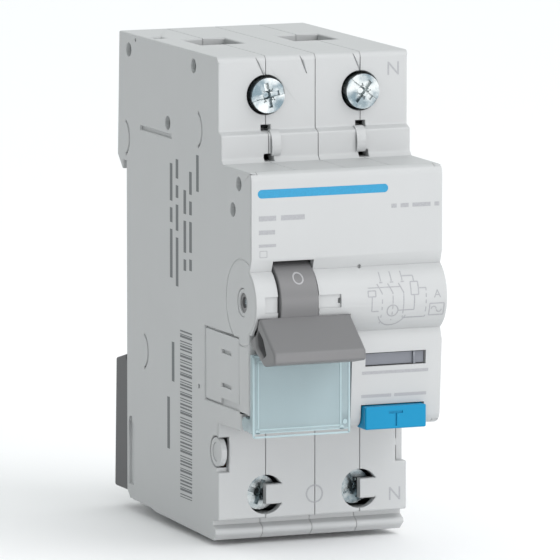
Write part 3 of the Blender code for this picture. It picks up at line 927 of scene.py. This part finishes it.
def buildDiagram():
    line = diagram["line"]
    strokes = []
    for number, x in enumerate(diagram["poles"]):
        strokes += path(((x, diagram["top"]), (x, 2.9)), line)
        strokes += path(((x - 0.8, 2.5), (x, 0.9)), line)
        strokes += path(((x, 0.9), (x, diagram["low"] + 0.5 * number)), line)
        strokes += path(((x - 0.3, 2.7), (x + 0.3, 2.7)), line)
    strokes += path(((3.0, 1.9), (9.2, 1.9)), line * 0.8)
    strokes += boxed(3.0, 4.4, 0.4, 1.4, line)
    strokes += path(((3.7, 0.4), (3.7, -2.2), (5.0, -2.2)), line)
    strokes += circle(7.6, -2.2, 1.0, line)
    strokes += circle(7.6, -2.2, 2.7, line, 16, 200, 340)
    strokes += path(((8.6, -2.2), (11.6, -2.2), (11.6, 0.4)), line)
    strokes += boxed(11.0, 12.4, 0.4, 2.6, line)
    strokes += path(((11.7, 2.6), (11.7, 3.6), (9.6, 3.6)), line)
    strokes += path(((12.4, 1.5), (13.8, 1.5), (13.8, -3.6), (9.6, -3.6)), line)
    inkOn("wiring_diagram", strokes, noseFace, "faintInk")
    wave = boxed(14.5, 17.2, -3.4, -1.3, line)
    wave += circle(15.3, -2.3, 0.45, line, 10, 180, 0)
    wave += circle(16.3, -2.4, 0.45, line, 10, 180, 360)
    inkOn("current_symbol", wave, noseFace, "faintInk")
    inkOn("type_letter", [letter("A", 15.9, 0.3, 2.0)], noseFace, "faintInk")


colourBar = {"x": (-16.6, 7.6), "z": 18.85, "half": 0.75}


def buildFrontPrint():
    (x0, x1), z, half = colourBar["x"], colourBar["z"], colourBar["half"]
    bar = barrel((x0 + half, nose["y"], z), half, "Y", 32, 0.03)
    bar.name = "colour_bar"
    for point in bar.data.vertices:
        if point.co.x > (x0 + half) * mm:
            point.co.x += (x1 - x0 - 2 * half) * mm
    settle(bar, "housing", "barInk", "housing_plastic")
    for name, (x, z, lengths, height) in words.items():
        inkOn(f"word_row_{name}", wordRow(x, z, lengths, height), noseFace, "faintInk")
    inkOn("symbol_frame", boxed(-16.2, -14.9, 7.9, 9.0, 0.14), noseFace, "faintInk")
    inkOn("neutral_letter_upper", [letter("N", 15.05, 37.5, 3.4)], shoulderFace, "faintInk")
    inkOn("neutral_letter_lower", [letter("N", 15.45, -37.3, 3.4)], shoulderFace, "faintInk")
    inkOn("ring_mark", circle(0.3, -36.3, 1.5, 0.3, 32), shoulderFace, "faintInk")


sidePrint = {
    "rows": (
        (-34.3, 22.8, (6.4,)),
        (-31.0, 19.5, (4.0, 2.4, 5.4, 2.0)),
        (-28.3, 16.0, (4.2, 5.6, 2.0)),
        (-24.6, 21.0, (3.4, 2.2, 4.6, 8.6)),
        (-21.8, 20.0, (6.6, 2.6, 8.6)),
        (-22.6, -11.5, (7.0,)),
        (-20.4, -21.5, (9.2,)),
    ),
    "height": 2.0,
    "bars": {"y": (-31.6, -26.0), "z": (-38.4, -9.0)},
}


def buildSidePrint():
    strokes = []
    for y, z, lengths in sidePrint["rows"]:
        # a row reads downwards, so it is made level and turned a quarter
        level = joined(wordRow(0, 0, lengths, sidePrint["height"]), "side_row")
        for vertex in level.data.vertices:
            vertex.co = Vector((y * mm + vertex.co.z, vertex.co.y, z * mm - vertex.co.x))
        strokes.append(level)
    bars = sidePrint["bars"]
    z, bottom = bars["z"][1], bars["z"][0]
    number = 0
    while z > bottom:
        thick = (0.28, 0.16, 0.4, 0.2, 0.16, 0.34)[number * 7 % 6]
        strokes.append(slat((bars["y"][0], z), (bars["y"][1], z), thick))
        z -= thick + (0.3, 0.22, 0.45, 0.26)[number * 5 % 4]
        number += 1
    whole = joined(strokes, "side_print")
    settle(turnedToSide(whole), "housing", "sideInk", "housing_plastic")


buildFrontPrint()
buildDiagram()
buildSidePrint()
print("print made")


# floor, light and camera

bpy.context.scene.view_settings.view_transform = "Standard"
studio = {
    "floorZ": -44.9,
    "floor": (0.94, 0.94, 0.945),
    "sky": (0.97, 1.0, 1.0),
    "skyLight": 1.0,
    "key": {"place": (0.6, -0.8, 0.95), "size": 0.8, "power": 5.6, "colour": (1.0, 0.97, 0.985)},
    "fill": {"place": (0.2, -1.25, 0.1), "size": 0.25, "power": 3.7, "colour": (1.0, 0.97, 0.985)},
    "shade": {"x": -0.6, "size": 0.58, "colour": (0.05, 0.05, 0.05)},
}


def buildFloor():
    clearSelection()
    bpy.ops.mesh.primitive_plane_add(size=8, location=(0, 0, studio["floorZ"] * mm))
    floor = bpy.context.object
    floor.name = "floor"
    floor.data.materials.append(newFinish("pale floor", moulded(studio["floor"], 0.7, 0.004, 0.004)))


def buildShade():
    # a dark card off to the left takes some of the sky from that side
    shade = studio["shade"]
    clearSelection()
    bpy.ops.mesh.primitive_plane_add(
        size=shade["size"],
        location=(shade["x"], 0.03, 0.08),
        rotation=(0, math.pi / 2, 0),
    )
    card = bpy.context.object
    card.name = "shade_card"
    card.data.materials.append(newFinish("shade card", moulded(shade["colour"], 0.8)))


def addLight(name, place, size, power, colour):
    clearSelection()
    bpy.ops.object.light_add(type="AREA", location=place)
    light = bpy.context.object
    light.name = name
    light.data.size = size
    light.data.energy = power
    light.data.color = colour
    light.rotation_euler = (Vector((0, -0.03, 0)) - Vector(place)).to_track_quat("-Z", "Y").to_euler()
    light.visible_camera = False


view = {
    "azimuth": -22.16,
    "elevation": 7.83,
    "distance": 1.4915,
    "lens": 547.6,
    "target": (-0.475, -30.0, -0.496),
}


def addCamera():
    around, up = math.radians(view["azimuth"]), math.radians(view["elevation"])
    away = Vector((math.sin(around) * math.cos(up), -math.cos(around) * math.cos(up), math.sin(up)))
    target = Vector(view["target"]) * mm
    clearSelection()
    bpy.ops.object.camera_add(location=target + away * view["distance"])
    camera = bpy.context.object
    camera.rotation_euler = (-away).to_track_quat("-Z", "Y").to_euler()
    camera.data.sensor_width = 36
    camera.data.lens = view["lens"]
    camera.data.clip_start = 0.01
    camera.data.clip_end = 50
    bpy.context.scene.camera = camera


def lightTheRoom():
    world = bpy.data.worlds.new("studio")
    world.use_nodes = True
    world.node_tree.nodes["Background"].inputs["Color"].default_value = (*studio["sky"], 1)
    world.node_tree.nodes["Background"].inputs["Strength"].default_value = studio["skyLight"]
    bpy.context.scene.world = world
    for name in ("key", "fill"):
        addLight(f"{name}_light", **studio[name])


buildFloor()
buildShade()
lightTheRoom()
addCamera()
print("floor, lights and camera placed")
